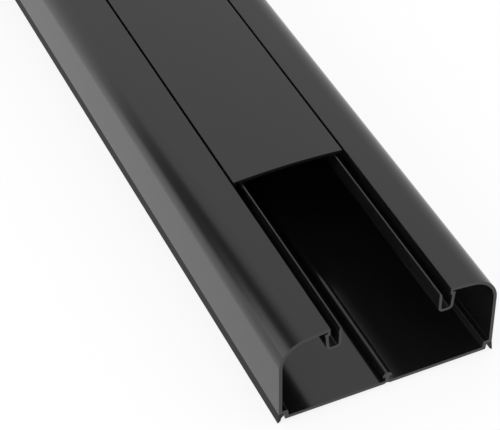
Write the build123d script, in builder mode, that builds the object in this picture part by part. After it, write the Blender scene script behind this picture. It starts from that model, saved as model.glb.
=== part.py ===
from build123d import *
import os
from math import radians, sqrt, tan

# Cable trunking with a snap-in lid: one stock length lying on its back.
# X is the width, Y the length with the open-lid end towards -Y, Z is up.
# Section heights are measured from the underside of the floor.

# Overall section
length = 2000.0
body_width = 120.0
body_height = 54.3
wall = 1.8
floor_thickness = 2.0
crown_radius = 400.0
corner_radius = 16.0
edge_round = 0.3

# Stepped foot along each bottom corner: a leaning riser that carries a ledge
floor_inset = 3.45
riser_thickness = 2.2
riser_angle = 7.0
ledge_height = 6.0
ledge_thickness = 1.7
ledge_round = 0.6

# Soft lip under each ledge: a wide root, a knee and a bevelled tip that leans outwards
lip_root = 1.0
lip_knee_inset = 1.4
lip_knee_height = 1.4
lip_knee_round = 1.0
lip_heel_inset = 0.9
lip_drop = 1.65
lip_bevel = 1.15
lip_flare = 0.8
lip_tip = 0.35
lip_round = 0.15

# Mouth and the channels along both sides of it
mouth_width = 65.7
channel_depth = 12.7
channel_width = 5.0
channel_wall = 1.5
channel_round = 1.2
web_setback = 0.3
web_angle = 5.0
lead_in_width = 0.6
lead_in_depth = 1.5

# Catch at the top of each channel's web, hung from the shoulder by a neck
neck = 1.35
slit = 1.25
catch_height = 1.45
catch_step = 0.25
catch_round = 0.2

# Divider rib on the middle of the floor, with a groove in the floor under it
rib_height = 5.8
rib_stem = 2.2
rib_head_width = 5.2
rib_head_height = 2.9
groove_width = 3.0
groove_depth = 0.7

# Lid, pushed home in the channels and set back from the open end
lid_setback = 116.5
lid_thickness = 2.0
lid_gap = 1.2
lid_clearance = 0.1
leg_thickness = 1.6
hook_height = 0.8
hook_ramp = 2.3
hook_clearance = 0.35
catch_clearance = 0.15


def crown(x, depth=0.0):
    """Height of the arched top at x, or of the arc that lies depth below it."""
    radius = crown_radius - depth
    return body_height - crown_radius + sqrt(radius**2 - x**2)


# Places worked out from the sizes above
half_width = body_width / 2
mouth_half = mouth_width / 2
section_plane = Plane((0, 0, lip_drop), x_dir=(1, 0, 0), z_dir=(0, -1, 0))

floor_edge = half_width - floor_inset
ledge_underside = ledge_height - ledge_thickness
riser_slope = tan(radians(riser_angle))
rib_top = floor_thickness + rib_height
rib_head_foot = rib_top - rib_head_height

shoulder_underside = crown(mouth_half, wall)
slot_floor = crown(mouth_half) - channel_depth
channel_underside = slot_floor - channel_wall
catch_top = shoulder_underside - slit
catch_underside = catch_top - catch_height
web_foot = mouth_half + web_setback
web_slope = tan(radians(web_angle))
inner_face = web_foot - channel_width
seat_edge = inner_face - lead_in_width
seat_height = crown(seat_edge, lid_thickness) - lid_clearance

lid_half = mouth_half - lid_gap
hook_top = catch_underside - catch_clearance
hook_underside = hook_top - hook_height


def riser_face(height):
    """Outer face of the leaning riser at a height."""
    return floor_edge + height * riser_slope


def web_face(height):
    """Inner face of the leaning web at a height."""
    return web_foot + (height - slot_floor) * web_slope


with BuildPart() as trunking_base:
    with BuildSketch(section_plane) as base_section:
        # Shell with an arched top and large top corners, open at the bottom
        with BuildLine():
            Polyline(
                (-half_width, crown(half_width)),
                (-half_width, 0),
                (half_width, 0),
                (half_width, crown(half_width)),
            )
            ThreePointArc(
                (half_width, crown(half_width)),
                (0, body_height),
                (-half_width, crown(half_width)),
            )
        make_face()
        fillet(base_section.vertices().group_by(Axis.Y)[-1], corner_radius)
        offset(amount=-wall, kind=Kind.INTERSECTION, mode=Mode.SUBTRACT)
        Rectangle(body_width - 2 * wall, wall, align=(Align.CENTER, Align.MIN), mode=Mode.SUBTRACT)

        # Mouth between the shoulders
        with Locations((0, body_height)):
            Rectangle(mouth_width, body_height, mode=Mode.SUBTRACT)
        fillet(base_section.vertices().group_by(Axis.Y)[-1], edge_round)

        # Floor, and the stepped foot at each end of it
        Rectangle(2 * floor_edge, floor_thickness, align=(Align.CENTER, Align.MIN))
        with BuildSketch(mode=Mode.PRIVATE) as foot:
            with BuildLine():
                Polyline(
                    (floor_edge - riser_thickness, 0),
                    (riser_face(ledge_height) - riser_thickness, ledge_height),
                    (half_width, ledge_height),
                    (half_width, 0),
                    close=True,
                )
            make_face()
            fillet(foot.vertices().group_by(Axis.Y)[-1].sort_by(Axis.X)[0], ledge_round)
        add(foot.sketch)
        mirror(foot.sketch, about=Plane.YZ)
        with BuildLine():
            Polyline(
                (floor_edge, 0),
                (riser_face(ledge_underside), ledge_underside),
                (half_width + wall, ledge_underside),
                (half_width + wall, 0),
                close=True,
            )
        notch = make_face(mode=Mode.SUBTRACT)
        mirror(notch, about=Plane.YZ, mode=Mode.SUBTRACT)

        # Channel at the mouth: inner wall, floor, leaning web, catch and neck
        with BuildSketch(mode=Mode.PRIVATE) as channel:
            with BuildLine():
                Polyline(
                    (inner_face - channel_wall, seat_height),
                    (inner_face - channel_wall, channel_underside),
                    (web_foot + channel_wall, channel_underside),
                    (web_face(catch_underside) + channel_wall, catch_underside),
                    (web_face(catch_underside) + channel_wall + catch_step, catch_underside),
                    (web_face(catch_underside) + channel_wall + catch_step, catch_top),
                    (mouth_half + neck, catch_top),
                    (mouth_half + neck, shoulder_underside + wall / 2),
                    (mouth_half, shoulder_underside + wall / 2),
                    (mouth_half, catch_underside),
                    (web_face(catch_underside), catch_underside),
                    (web_foot, slot_floor),
                    (inner_face, slot_floor),
                    (inner_face, seat_height - lead_in_depth),
                    (seat_edge, seat_height),
                    close=True,
                )
            make_face()
            fillet(channel.vertices().group_by(Axis.Y)[1], channel_round)
            fillet(channel.vertices().group_by(Axis.Y)[0], channel_round + channel_wall)
            fillet(channel.vertices().group_by(Axis.X)[-1].sort_by(Axis.Y)[-1], catch_round)
        add(channel.sketch)
        mirror(channel.sketch, about=Plane.YZ)

        # Mushroom rib that takes the foot of a divider
        with BuildSketch(mode=Mode.PRIVATE) as rib:
            with Locations((0, rib_top - rib_head_width / 2)):
                Circle(rib_head_width / 2)
            with Locations((0, rib_head_foot)):
                Rectangle(
                    rib_head_width,
                    rib_head_height,
                    align=(Align.CENTER, Align.MIN),
                    mode=Mode.INTERSECT,
                )
                Rectangle(rib_stem, rib_head_foot - floor_thickness / 2, align=(Align.CENTER, Align.MAX))
        add(rib.sketch)

        # Shallow groove under the rib
        with BuildLine():
            ThreePointArc((-groove_width / 2, 0), (0, groove_depth), (groove_width / 2, 0))
            Line((groove_width / 2, 0), (-groove_width / 2, 0))
        make_face(mode=Mode.SUBTRACT)
    extrude(amount=length / 2, both=True)
trunking_base.part.label = "trunking_base"


def lip(side):
    """Soft lip of one side, -1 for the left wall and 1 for the right one."""
    root_foot = ledge_underside - lip_root
    knee = (side * (half_width - lip_knee_inset), lip_knee_height)
    with BuildPart() as part:
        with BuildSketch(section_plane) as lip_section:
            with BuildLine():
                Polyline(
                    (side * riser_face(root_foot), root_foot),
                    (side * riser_face(ledge_underside), ledge_underside),
                    (side * half_width, ledge_underside),
                    (side * (half_width + lip_flare), -lip_drop),
                    (side * (half_width + lip_flare - lip_tip), -lip_drop),
                    (side * (half_width - lip_heel_inset), lip_bevel - lip_drop),
                    knee,
                    close=True,
                )
            make_face()
            fillet(lip_section.vertices().group_by(Axis.Y)[0], lip_round)
            fillet(lip_section.vertices().sort_by_distance(knee)[0], lip_knee_round)
        extrude(amount=length / 2, both=True)
    return part.part


soft_lip_left = lip(-1)
soft_lip_left.label = "soft_lip_left"
soft_lip_right = lip(1)
soft_lip_right.label = "soft_lip_right"


lid_far_end = Plane((0, length / 2, lip_drop), x_dir=(1, 0, 0), z_dir=(0, -1, 0))
with BuildPart() as lid:
    with BuildSketch(lid_far_end) as lid_section:
        # Arched plate that continues the curve of the shoulders
        with BuildLine():
            top = ThreePointArc(
                (-lid_half, crown(lid_half)),
                (0, body_height),
                (lid_half, crown(lid_half)),
            )
            underside = ThreePointArc(
                (-lid_half, crown(lid_half, lid_thickness)),
                (0, body_height - lid_thickness),
                (lid_half, crown(lid_half, lid_thickness)),
            )
            Line(top @ 0, underside @ 0)
            Line(top @ 1, underside @ 1)
        make_face()
        fillet(lid_section.vertices().group_by(Axis.Y)[-1], edge_round)

        # Legs with hooks that snap under the catches
        with BuildLine():
            Polyline(
                (lid_half, crown(lid_half, lid_thickness / 2)),
                (lid_half, hook_top),
                (web_face(hook_underside) - hook_clearance, hook_top),
                (web_face(hook_underside) - hook_clearance, hook_underside),
                (lid_half, hook_underside - hook_ramp),
                (lid_half - leg_thickness, hook_underside - hook_ramp),
                (lid_half - leg_thickness, crown(lid_half, lid_thickness / 2)),
                close=True,
            )
        leg = make_face()
        mirror(leg, about=Plane.YZ)
    extrude(amount=length - lid_setback)
lid.part.label = "lid"


os.makedirs("parts", exist_ok=True)
export_step(trunking_base.part, "parts/trunking_base.step")
export_step(lid.part, "parts/lid.step")
export_step(soft_lip_left, "parts/soft_lip_left.step")
export_step(soft_lip_right, "parts/soft_lip_right.step")
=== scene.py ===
import math

import bmesh
import bpy
from mathutils import Matrix, Vector


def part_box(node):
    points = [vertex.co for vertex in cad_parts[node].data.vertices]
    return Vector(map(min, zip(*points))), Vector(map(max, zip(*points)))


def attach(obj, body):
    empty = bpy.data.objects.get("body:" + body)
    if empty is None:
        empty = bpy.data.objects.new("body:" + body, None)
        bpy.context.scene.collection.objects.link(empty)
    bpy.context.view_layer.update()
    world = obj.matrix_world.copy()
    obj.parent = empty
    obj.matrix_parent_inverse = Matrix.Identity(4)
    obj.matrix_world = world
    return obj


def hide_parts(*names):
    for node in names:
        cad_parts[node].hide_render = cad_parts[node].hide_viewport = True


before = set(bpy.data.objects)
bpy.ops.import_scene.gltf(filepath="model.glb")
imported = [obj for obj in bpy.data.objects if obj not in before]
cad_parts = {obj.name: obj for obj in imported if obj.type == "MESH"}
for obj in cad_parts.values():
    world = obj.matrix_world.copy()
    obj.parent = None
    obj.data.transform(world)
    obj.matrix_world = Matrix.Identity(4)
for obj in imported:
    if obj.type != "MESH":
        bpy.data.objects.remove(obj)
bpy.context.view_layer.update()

MM = 0.001

# Camera of the photograph, its place in metres and its turns in degrees
PHOTO_WIDTH_PX = 500
FOCAL_PX = 1837
SENSOR_MM = 36.0
CAMERA_PLACE = (-0.3182, -1.5461, 0.68195)
CAMERA_YAW = 24.061
CAMERA_PITCH = 41.997
CAMERA_ROLL = -0.593
CLIP_START = 0.01
CLIP_END = 50

# Floor: its side in metres, its colour in the light that it sends on, and the share of its white
# that takes the object's shadow
FLOOR_SIDE = 40
FLOOR_COLOUR = 0.8
FLOOR_SHADOW = 0.18

# Surroundings that the plastic mirrors, by the X, Y or Z part of a direction or its angle from the length.
# Away from the camera they darken a little: below the horizon left of the middle, and low on the right.
AWAY_FADE = (-0.4, 0.2)
GROUND_FADE = (-0.1, -0.45)
GROUND_SIDE_FADE = (-0.8, -0.22)
GROUND_DIM = 0.35
RIGHT_FADE = (-0.15, 0.25)
SKY_FADE = (0.45, 0.78)
SKY_DIM = 0.17

# A dark arc to the left with a bright rim, mirrored by the left corner
ARC_TILT = 5.4
ARC_INNER_EDGE = (39.6, 42.6)
ARC_OUTER_EDGE = (47.2, 48.8)
ARC_WIDENS_FROM = (0.35, 0.8)
ARC_WIDENS_BY = 3.5
ARC_BENDS_FROM = (0.3, -0.05)
ARC_BENDS_BY = 2.0
ARC_FADE = (0.1, -0.51)
ARC_GROUND_FADE = (-0.33, 0.05)
ARC_DEPTH = 0.93
RIM_FADE = (-0.6, -0.78)
RIM_GROUND_FADE = (-0.2, 0.0)
RIM_GAIN = 0.75

# Section of the trunking in millimetres, heights above the floor's underside. EDGE rounds each edge
# that has no round of its own.
BODY_WIDTH = 120.0
BODY_HEIGHT = 54.3
WALL = 1.8
FLOOR_THICKNESS = 2.0
CROWN_RADIUS = 400.0
CORNER_RADIUS = 16.0
EDGE = 0.3

FLOOR_INSET = 3.45
RISER_THICKNESS = 2.2
RISER_ANGLE = 7.0
LEDGE_HEIGHT = 6.0
LEDGE_THICKNESS = 1.7
LEDGE_ROUND = 0.6

LIP_ROOT = 1.0
LIP_KNEE_INSET = 1.4
LIP_KNEE_HEIGHT = 1.4
LIP_KNEE_ROUND = 1.0
LIP_HEEL_INSET = 0.9
LIP_DROP = 1.65
LIP_BEVEL = 1.15
LIP_TIP = 0.35
LIP_ROUND = 0.15
LIP_ROOT_ROUND = 0.05

# The soft lips lean out a little less than their solids, as in the photograph
LIP_FLARE = 0.68

MOUTH_WIDTH = 65.7
CHANNEL_DEPTH = 12.7
CHANNEL_WIDTH = 5.0
CHANNEL_WALL = 1.5
CHANNEL_ROUND = 1.2
WEB_SETBACK = 0.3
WEB_ANGLE = 5.0
LEAD_IN_WIDTH = 0.6
LEAD_IN_DEPTH = 1.5

NECK = 1.35
SLIT = 1.25
CATCH_HEIGHT = 1.45
CATCH_STEP = 0.25
CATCH_ROUND = 0.2

RIB_HEIGHT = 5.8
RIB_STEM = 2.2
RIB_HEAD_WIDTH = 5.2
RIB_HEAD_HEIGHT = 2.9
GROOVE_WIDTH = 3.0
GROOVE_DEPTH = 0.7

# Depth of the groove's arc halfway to its edge, as a share of its full depth
GROOVE_HALFWAY = 0.75

LID_THICKNESS = 2.0
LID_GAP = 1.2
LID_CLEARANCE = 0.1
LEG_THICKNESS = 1.6
HOOK_HEIGHT = 0.8
HOOK_RAMP = 2.3
HOOK_CLEARANCE = 0.35
CATCH_CLEARANCE = 0.15

# How outlines are rounded: turns under this many radians stay, and a round takes up to this share of a side
BARELY_TURNS = 0.21
SHARE_OF_SIDE = 0.48

# Into how many straight steps each curve is divided
EDGE_STEPS = 4
ROUND_STEPS = 10
CORNER_STEPS = 20
SHOULDER_STEPS = 12
SHOULDER_INSIDE_STEPS = 10
RIB_STEPS = 12
LID_TOP_STEPS = 40
LID_UNDERSIDE_STEPS = 28

# Faces that meet at more than this many degrees stay sharp
SHARP_ANGLE = 40

# Where the right half of the rib's head stops, in degrees, just short of its mirror image
RIB_TOP_TURN = 86.0

HALF = BODY_WIDTH / 2
MOUTH = MOUTH_WIDTH / 2
CROWN_CENTRE = BODY_HEIGHT - CROWN_RADIUS


def crown(x, depth=0.0):
    """Height of the arched top at x, or of the arc that lies depth below it."""
    return CROWN_CENTRE + math.sqrt((CROWN_RADIUS - depth) ** 2 - x**2)


SLOT_FLOOR = crown(MOUTH) - CHANNEL_DEPTH
CATCH_TOP = crown(MOUTH, WALL) - SLIT
CATCH_UNDERSIDE = CATCH_TOP - CATCH_HEIGHT
WEB_FOOT = MOUTH + WEB_SETBACK
WEB_SLOPE = math.tan(math.radians(WEB_ANGLE))
RISER_SLOPE = math.tan(math.radians(RISER_ANGLE))


# Outlines of the sections

def arc(centre, radius, start, end, steps):
    """Points on a circle from one angle to another, in degrees."""
    points = []
    for i in range(steps + 1):
        angle = math.radians(start + (end - start) * i / steps)
        points.append((centre[0] + radius * math.cos(angle), centre[1] + radius * math.sin(angle)))
    return points


def crown_arc(x_start, x_end, depth, steps):
    """Points on the arched top, or on the arc that lies depth below it."""
    xs = [x_start + (x_end - x_start) * i / steps for i in range(steps + 1)]
    return [(x, crown(x, depth)) for x in xs]


def top_corner(depth):
    """Points round the top right corner, from the side wall on to the crown."""
    reach = CROWN_RADIUS - CORNER_RADIUS
    x = HALF - CORNER_RADIUS
    z = CROWN_CENTRE + math.sqrt(reach**2 - x**2)
    turn = math.degrees(math.atan2(z - CROWN_CENTRE, x))
    return arc((x, z), CORNER_RADIUS - depth, 0, turn, CORNER_STEPS)


def rounded(corners):
    """The closed outline with each sharp corner rounded. A corner is (x, z) or (x, z, radius)."""
    outline = []
    count = len(corners)
    for i, corner in enumerate(corners):
        here = Vector(corner[:2])
        before = Vector(corners[i - 1][:2]) - here
        after = Vector(corners[(i + 1) % count][:2]) - here
        half_angle = before.angle(after) / 2
        turn = math.pi - 2 * half_angle
        if turn < BARELY_TURNS:
            outline.append(here)
            continue
        radius = corner[2] if len(corner) > 2 else EDGE
        room = SHARE_OF_SIDE * min(before.length, after.length)
        back = min(radius / math.tan(half_angle), room)
        radius = back * math.tan(half_angle)
        inward = (before.normalized() + after.normalized()).normalized()
        centre = here + inward * radius / math.sin(half_angle)
        start = here + before.normalized() * back - centre
        end = here + after.normalized() * back - centre
        steps = EDGE_STEPS if radius <= EDGE else ROUND_STEPS
        for step in range(steps + 1):
            along = turn * step / steps
            spoke = (start * math.sin(turn - along) + end * math.sin(along)) / math.sin(turn)
            outline.append(centre + spoke)
    return outline


def riser_face(height):
    """Outer face of the leaning riser at a height."""
    return HALF - FLOOR_INSET + height * RISER_SLOPE


def web_face(height):
    """Inner face of the leaning web of a channel at a height."""
    return WEB_FOOT + (height - SLOT_FLOOR) * WEB_SLOPE


def rib_head():
    """Right half of the rib's head, a circle cut flat at its foot."""
    radius = RIB_HEAD_WIDTH / 2
    middle = FLOOR_THICKNESS + RIB_HEIGHT - radius
    foot = FLOOR_THICKNESS + RIB_HEIGHT - RIB_HEAD_HEIGHT
    start = math.degrees(math.asin((foot - middle) / radius))
    return [(RIB_STEM / 2, foot)] + arc((0, middle), radius, start, RIB_TOP_TURN, RIB_STEPS)


def base_outline():
    """Right half of the trunking's section from the groove to the rib, then its mirror image."""
    ledge_underside = LEDGE_HEIGHT - LEDGE_THICKNESS
    inner_face = WEB_FOOT - CHANNEL_WIDTH
    seat_edge = inner_face - LEAD_IN_WIDTH
    seat = crown(seat_edge, LID_THICKNESS) - LID_CLEARANCE
    channel_underside = SLOT_FLOOR - CHANNEL_WALL
    web_outside = web_face(CATCH_UNDERSIDE) + CHANNEL_WALL
    neck_face = MOUTH + NECK
    outer_corner = top_corner(0)
    inner_corner = top_corner(WALL)
    right = [
        (0, GROOVE_DEPTH),
        (GROOVE_WIDTH / 4, GROOVE_DEPTH * GROOVE_HALFWAY),
        (GROOVE_WIDTH / 2, 0),
        (riser_face(0), 0),
        (riser_face(ledge_underside), ledge_underside),
        (HALF, ledge_underside, LIP_ROOT_ROUND),
    ]
    right += outer_corner
    right += crown_arc(outer_corner[-1][0], MOUTH, 0, SHOULDER_STEPS)[1:]
    right += [
        (MOUTH, CATCH_UNDERSIDE),
        (web_face(CATCH_UNDERSIDE), CATCH_UNDERSIDE),
        (WEB_FOOT, SLOT_FLOOR, CHANNEL_ROUND),
        (inner_face, SLOT_FLOOR, CHANNEL_ROUND),
        (inner_face, seat - LEAD_IN_DEPTH),
        (seat_edge, seat),
        (inner_face - CHANNEL_WALL, seat),
        (inner_face - CHANNEL_WALL, channel_underside, CHANNEL_ROUND + CHANNEL_WALL),
        (WEB_FOOT + CHANNEL_WALL, channel_underside, CHANNEL_ROUND + CHANNEL_WALL),
        (web_outside, CATCH_UNDERSIDE),
        (web_outside + CATCH_STEP, CATCH_UNDERSIDE),
        (web_outside + CATCH_STEP, CATCH_TOP, CATCH_ROUND),
        (neck_face, CATCH_TOP),
    ]
    right += crown_arc(neck_face, inner_corner[-1][0], WALL, SHOULDER_INSIDE_STEPS)[:-1]
    right += reversed(inner_corner)
    right += [
        (HALF - WALL, LEDGE_HEIGHT),
        (riser_face(LEDGE_HEIGHT) - RISER_THICKNESS, LEDGE_HEIGHT, LEDGE_ROUND),
        (riser_face(FLOOR_THICKNESS) - RISER_THICKNESS, FLOOR_THICKNESS),
        (RIB_STEM / 2, FLOOR_THICKNESS),
    ]
    right += rib_head()
    left = [(-corner[0], *corner[1:]) for corner in reversed(right[1:])]
    return rounded(right + left)


def lid_outline():
    """Arched plate with a hooked leg at each side."""
    half = MOUTH - LID_GAP
    hook_top = CATCH_UNDERSIDE - CATCH_CLEARANCE
    hook_low = hook_top - HOOK_HEIGHT
    hook_tip = web_face(hook_low) - HOOK_CLEARANCE
    foot = hook_low - HOOK_RAMP
    leg_face = half - LEG_THICKNESS
    right = [
        (half, hook_top),
        (hook_tip, hook_top),
        (hook_tip, hook_low),
        (half, foot),
        (leg_face, foot),
    ]
    left = [(-x, z) for x, z in reversed(right)]
    underside = crown_arc(leg_face, -leg_face, LID_THICKNESS, LID_UNDERSIDE_STEPS)
    top = crown_arc(-half, half, 0, LID_TOP_STEPS)
    return rounded(right + underside + left + top)


def lip_outline(side):
    """Soft lip under the ledge of one side: a wide root, a knee and a bevelled tip that leans outwards."""
    root = LEDGE_HEIGHT - LEDGE_THICKNESS
    root_foot = root - LIP_ROOT
    right = [
        (riser_face(root), root, LIP_ROOT_ROUND),
        (riser_face(root_foot), root_foot, LIP_ROOT_ROUND),
        (HALF - LIP_KNEE_INSET, LIP_KNEE_HEIGHT, LIP_KNEE_ROUND),
        (HALF - LIP_HEEL_INSET, LIP_BEVEL - LIP_DROP),
        (HALF + LIP_FLARE - LIP_TIP, -LIP_DROP, LIP_ROUND),
        (HALF + LIP_FLARE, -LIP_DROP, LIP_ROUND),
        (HALF, root, LIP_ROOT_ROUND),
    ]
    return rounded([(side * corner[0], *corner[1:]) for corner in right])


# Making a piece

def extruded(name, outline, start, end):
    """Mesh of a section in millimetres, run along Y from start to end, its caps in the second material."""
    mesh = bpy.data.meshes.new(name)
    bm = bmesh.new()
    rings = []
    for y in (start, end):
        rings.append([bm.verts.new((p.x * MM, y, (p.y + LIP_DROP) * MM)) for p in outline])
    front, far = rings
    count = len(outline)
    for i in range(count):
        j = (i + 1) % count
        bm.faces.new((front[i], front[j], far[j], far[i]))
    for ring in rings:
        cap = bm.faces.new(ring)
        cap.material_index = 1
    bmesh.ops.recalc_face_normals(bm, faces=bm.faces)
    caps = [face for face in bm.faces if face.material_index == 1]
    bmesh.ops.triangulate(bm, faces=caps)
    bm.to_mesh(mesh)
    bm.free()
    mesh.shade_smooth()
    mesh.set_sharp_from_angle(angle=math.radians(SHARP_ANGLE))
    return mesh


def profile(name, outline, node, materials):
    """Piece with the outline of its section, as long as the CAD node that it stands for."""
    low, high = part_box(node)
    mesh = extruded(name, outline, low.y, high.y)
    piece = bpy.data.objects.new(name, mesh)
    bpy.context.collection.objects.link(piece)
    for material in materials:
        mesh.materials.append(material)
    weighted = piece.modifiers.new("flat_faces_stay_flat", "WEIGHTED_NORMAL")
    weighted.keep_sharp = True
    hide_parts(node)
    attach(piece, "root")


# Materials

class Nodes:
    """Short calls for building a node material."""

    def __init__(self, name):
        self.material = bpy.data.materials.new(name)
        self.material.use_nodes = True
        self.tree = self.material.node_tree
        self.shader = self.tree.nodes["Principled BSDF"]
        self.output = self.tree.nodes["Material Output"]

    def add(self, kind, **inputs):
        """New node with values for its inputs."""
        node = self.tree.nodes.new(kind)
        for key, value in inputs.items():
            node.inputs[key].default_value = value
        return node

    def link(self, source, target):
        """Link from an output to an input."""
        self.tree.links.new(source, target)


def stretched_noise(nodes, scale, detail=3.0):
    """Noise in the object's own metres, with its own scale along each axis."""
    coordinates = nodes.add("ShaderNodeTexCoord")
    mapping = nodes.add("ShaderNodeMapping", Scale=scale)
    noise = nodes.add("ShaderNodeTexNoise", Scale=1.0, Detail=detail)
    nodes.link(coordinates.outputs["Object"], mapping.inputs["Vector"])
    nodes.link(mapping.outputs["Vector"], noise.inputs["Vector"])
    return noise.outputs["Fac"]


def between(nodes, fac, low, high):
    """A number that follows fac from low to high."""
    spread = nodes.add("ShaderNodeMapRange")
    spread.inputs["To Min"].default_value = low
    spread.inputs["To Max"].default_value = high
    nodes.link(fac, spread.inputs["Value"])
    return spread.outputs["Result"]


# Where in a noise's range the dark tone ends and the light one begins
TONE_ENDS = (0.3, 0.7)


def two_tones(nodes, fac, dark, light):
    """A colour that follows fac from dark to light."""
    ramp = nodes.add("ShaderNodeValToRGB")
    for element, position, tone in zip(ramp.color_ramp.elements, TONE_ENDS, (dark, light)):
        element.position = position
        element.color = (*tone, 1)
    nodes.link(fac, ramp.inputs["Fac"])
    return ramp.outputs["Color"]


def add_bump(nodes, height, strength, distance, under=None):
    """Relief on the shader's normal, on top of another bump if one is given."""
    bump = nodes.add("ShaderNodeBump", Strength=strength, Distance=distance)
    nodes.link(height, bump.inputs["Height"])
    if under is not None:
        nodes.link(under.outputs["Normal"], bump.inputs["Normal"])
    return bump


def satin_plastic():
    """Black satin skin of extruded plastic, with faint lines along the length from the die."""
    nodes = Nodes("satin_plastic")
    cloud = stretched_noise(nodes, (18, 3, 18))
    die_lines = stretched_noise(nodes, (900, 1.5, 900), detail=2.0)
    grain = stretched_noise(nodes, (2500, 2500, 2500), detail=2.0)
    nodes.link(two_tones(nodes, cloud, (0.006, 0.006, 0.0062), (0.008, 0.008, 0.0082)),
               nodes.shader.inputs["Base Color"])
    nodes.link(between(nodes, cloud, 0.12, 0.15), nodes.shader.inputs["Roughness"])
    nodes.shader.inputs["IOR"].default_value = 1.5
    lines = add_bump(nodes, die_lines, 0.05, 0.00002)
    skin = add_bump(nodes, grain, 0.05, 0.00001, under=lines)
    nodes.link(skin.outputs["Normal"], nodes.shader.inputs["Normal"])
    return nodes.material


def sawn_plastic():
    """The same plastic where a fine saw left it, a little duller, with faint straight marks."""
    nodes = Nodes("sawn_plastic")
    marks = stretched_noise(nodes, (150, 150, 2600), detail=4.0)
    nodes.link(two_tones(nodes, marks, (0.006, 0.006, 0.0062), (0.007, 0.007, 0.0072)),
               nodes.shader.inputs["Base Color"])
    nodes.link(between(nodes, marks, 0.16, 0.24), nodes.shader.inputs["Roughness"])
    nodes.shader.inputs["IOR"].default_value = 1.5
    nodes.link(add_bump(nodes, marks, 0.15, 0.00003).outputs["Normal"], nodes.shader.inputs["Normal"])
    return nodes.material


def soft_lip():
    """Dull soft plastic of the sealing lips."""
    nodes = Nodes("soft_lip")
    grain = stretched_noise(nodes, (1500, 200, 1500))
    nodes.link(two_tones(nodes, grain, (0.006, 0.006, 0.0062), (0.009, 0.009, 0.0092)),
               nodes.shader.inputs["Base Color"])
    nodes.link(between(nodes, grain, 0.5, 0.62), nodes.shader.inputs["Roughness"])
    nodes.shader.inputs["IOR"].default_value = 1.31
    nodes.link(add_bump(nodes, grain, 0.2, 0.00003).outputs["Normal"], nodes.shader.inputs["Normal"])
    return nodes.material


def white_floor():
    """White floor with the object's shadow on it. Mirrored rays go through it to the pale surroundings."""
    nodes = Nodes("white_floor")
    rays = nodes.add("ShaderNodeLightPath")
    seen = nodes.add("ShaderNodeMath")
    seen.operation = "MAXIMUM"
    nodes.link(rays.outputs["Is Camera Ray"], seen.inputs[0])
    nodes.link(rays.outputs["Is Transmission Ray"], seen.inputs[1])
    plain = nodes.add("ShaderNodeBsdfDiffuse", Color=(FLOOR_COLOUR, FLOOR_COLOUR, FLOOR_COLOUR, 1))
    shaded = nodes.add("ShaderNodeBsdfDiffuse", Color=(1.0, 1.0, 1.0, 1))
    glow = nodes.add("ShaderNodeEmission", Color=(1.0, 1.0, 1.0, 1), Strength=1.0)
    clear = nodes.add("ShaderNodeBsdfTransparent")
    white = nodes.add("ShaderNodeMixShader", Fac=FLOOR_SHADOW)
    nodes.link(glow.outputs["Emission"], white.inputs[1])
    nodes.link(shaded.outputs["BSDF"], white.inputs[2])
    solid = nodes.add("ShaderNodeMixShader")
    nodes.link(seen.outputs["Value"], solid.inputs["Fac"])
    nodes.link(plain.outputs["BSDF"], solid.inputs[1])
    nodes.link(white.outputs["Shader"], solid.inputs[2])
    mix = nodes.add("ShaderNodeMixShader")
    nodes.link(rays.outputs["Is Glossy Ray"], mix.inputs["Fac"])
    nodes.link(solid.outputs["Shader"], mix.inputs[1])
    nodes.link(clear.outputs["BSDF"], mix.inputs[2])
    nodes.link(mix.outputs["Shader"], nodes.output.inputs["Surface"])
    nodes.tree.nodes.remove(nodes.shader)
    return nodes.material


# Camera, floor and light

def add_camera():
    """Camera at the photograph's place, turned, tilted and rolled as it was."""
    data = bpy.data.cameras.new("camera")
    data.sensor_width = SENSOR_MM
    data.lens = SENSOR_MM * FOCAL_PX / PHOTO_WIDTH_PX
    data.clip_start = CLIP_START
    data.clip_end = CLIP_END
    camera = bpy.data.objects.new("camera", data)
    bpy.context.collection.objects.link(camera)
    turn = Matrix.Rotation(math.radians(-CAMERA_YAW), 4, "Z")
    tilt = Matrix.Rotation(math.radians(90 - CAMERA_PITCH), 4, "X")
    roll = Matrix.Rotation(math.radians(CAMERA_ROLL), 4, "Z")
    camera.matrix_world = Matrix.Translation(CAMERA_PLACE) @ turn @ tilt @ roll
    bpy.context.scene.camera = camera


def add_floor():
    """Level white floor under the object."""
    bpy.ops.mesh.primitive_plane_add(size=FLOOR_SIDE)
    floor = bpy.context.object
    floor.name = "floor"
    floor.data.materials.append(white_floor())


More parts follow.
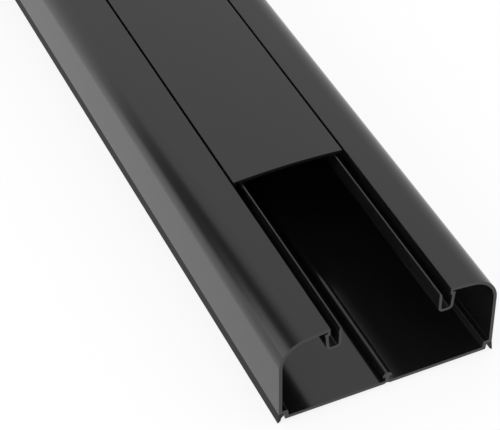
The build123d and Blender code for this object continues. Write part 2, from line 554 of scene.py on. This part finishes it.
def add_light():
    """Pale light from all round, dimmer away from the camera, with a dark arc and its rim to the left."""
    world = bpy.data.worlds.new("studio")
    bpy.context.scene.world = world
    world.use_nodes = True
    tree = world.node_tree
    background = tree.nodes["Background"]

    def add(kind, settings, *inputs):
        node = tree.nodes.new(kind)
        for key, value in settings.items():
            setattr(node, key, value)
        for index, value in enumerate(inputs):
            if isinstance(value, bpy.types.NodeSocket):
                tree.links.new(value, node.inputs[index])
            else:
                node.inputs[index].default_value = value
        return node

    def ramp(value, start, end):
        node = add("ShaderNodeMapRange", {"interpolation_type": "SMOOTHSTEP"}, value, start, end)
        return node.outputs["Result"]

    def even_ramp(value, start, end):
        return add("ShaderNodeMapRange", {}, value, start, end).outputs["Result"]

    def maths(operation, a, b):
        return add("ShaderNodeMath", {"operation": operation}, a, b).outputs["Value"]

    direction = add("ShaderNodeTexCoord", {}).outputs["Generated"]
    parts = add("ShaderNodeSeparateXYZ", {}, direction).outputs
    x, y, z = parts["X"], parts["Y"], parts["Z"]

    # Level of the surroundings without the arc
    right = ramp(x, *RIGHT_FADE)
    below = maths("MULTIPLY", ramp(z, *GROUND_FADE), maths("SUBTRACT", 1.0, right))
    ground = maths("MULTIPLY", maths("MULTIPLY", below, even_ramp(x, *GROUND_SIDE_FADE)), GROUND_DIM)
    low = maths("SUBTRACT", 1.0, ramp(z, *SKY_FADE))
    sky = maths("MULTIPLY", maths("MULTIPLY", low, right), SKY_DIM)
    dim = maths("MULTIPLY", maths("ADD", ground, sky), ramp(y, *AWAY_FADE))
    plain = maths("SUBTRACT", 1.0, dim)

    # Dark arc and its rim
    tilt = math.radians(ARC_TILT)
    axis = (0, math.cos(tilt), math.sin(tilt))
    along = add("ShaderNodeVectorMath", {"operation": "DOT_PRODUCT"}, direction, axis).outputs["Value"]
    angle = maths("DEGREES", maths("ARCCOSINE", along, 0.0), 0.0)
    widens = maths("MULTIPLY", ramp(z, *ARC_WIDENS_FROM), ARC_WIDENS_BY)
    bends = maths("MULTIPLY", ramp(z, *ARC_BENDS_FROM), ARC_BENDS_BY)
    turned = maths("SUBTRACT", angle, maths("ADD", widens, bends))
    inside = ramp(turned, *ARC_INNER_EDGE)
    outside = ramp(turned, *ARC_OUTER_EDGE)
    arc_part = maths("MULTIPLY", ramp(x, *ARC_FADE), ramp(z, *ARC_GROUND_FADE))
    band = maths("MULTIPLY", maths("SUBTRACT", inside, outside), arc_part)
    rim_part = maths("MULTIPLY", ramp(x, *RIM_FADE), ramp(z, *RIM_GROUND_FADE))
    rim = maths("MULTIPLY", outside, rim_part)
    darker = maths("MULTIPLY", plain, maths("SUBTRACT", 1.0, maths("MULTIPLY", band, ARC_DEPTH)))
    level = maths("ADD", darker, maths("MULTIPLY", rim, RIM_GAIN))

    # The camera sees plain white, also through glass
    rays = add("ShaderNodeLightPath", {}).outputs
    white = maths("MAXIMUM", rays["Is Camera Ray"], rays["Is Transmission Ray"])
    tree.links.new(maths("MAXIMUM", level, white), background.inputs["Strength"])
    background.inputs["Color"].default_value = (1, 1, 1, 1)

    # Not sampled as a lamp, because it isn't the same to every kind of ray
    world.cycles.sampling_method = "NONE"


satin = satin_plastic()
sawn = sawn_plastic()
lip_material = soft_lip()
profile("trunking_body", base_outline(), "trunking_base", (satin, sawn))
profile("lid_cover", lid_outline(), "lid", (satin, sawn))
profile("left_lip", lip_outline(-1), "soft_lip_left", (lip_material, lip_material))
profile("right_lip", lip_outline(1), "soft_lip_right", (lip_material, lip_material))

add_camera()
add_floor()
add_light()
bpy.context.scene.view_settings.view_transform = "Standard"
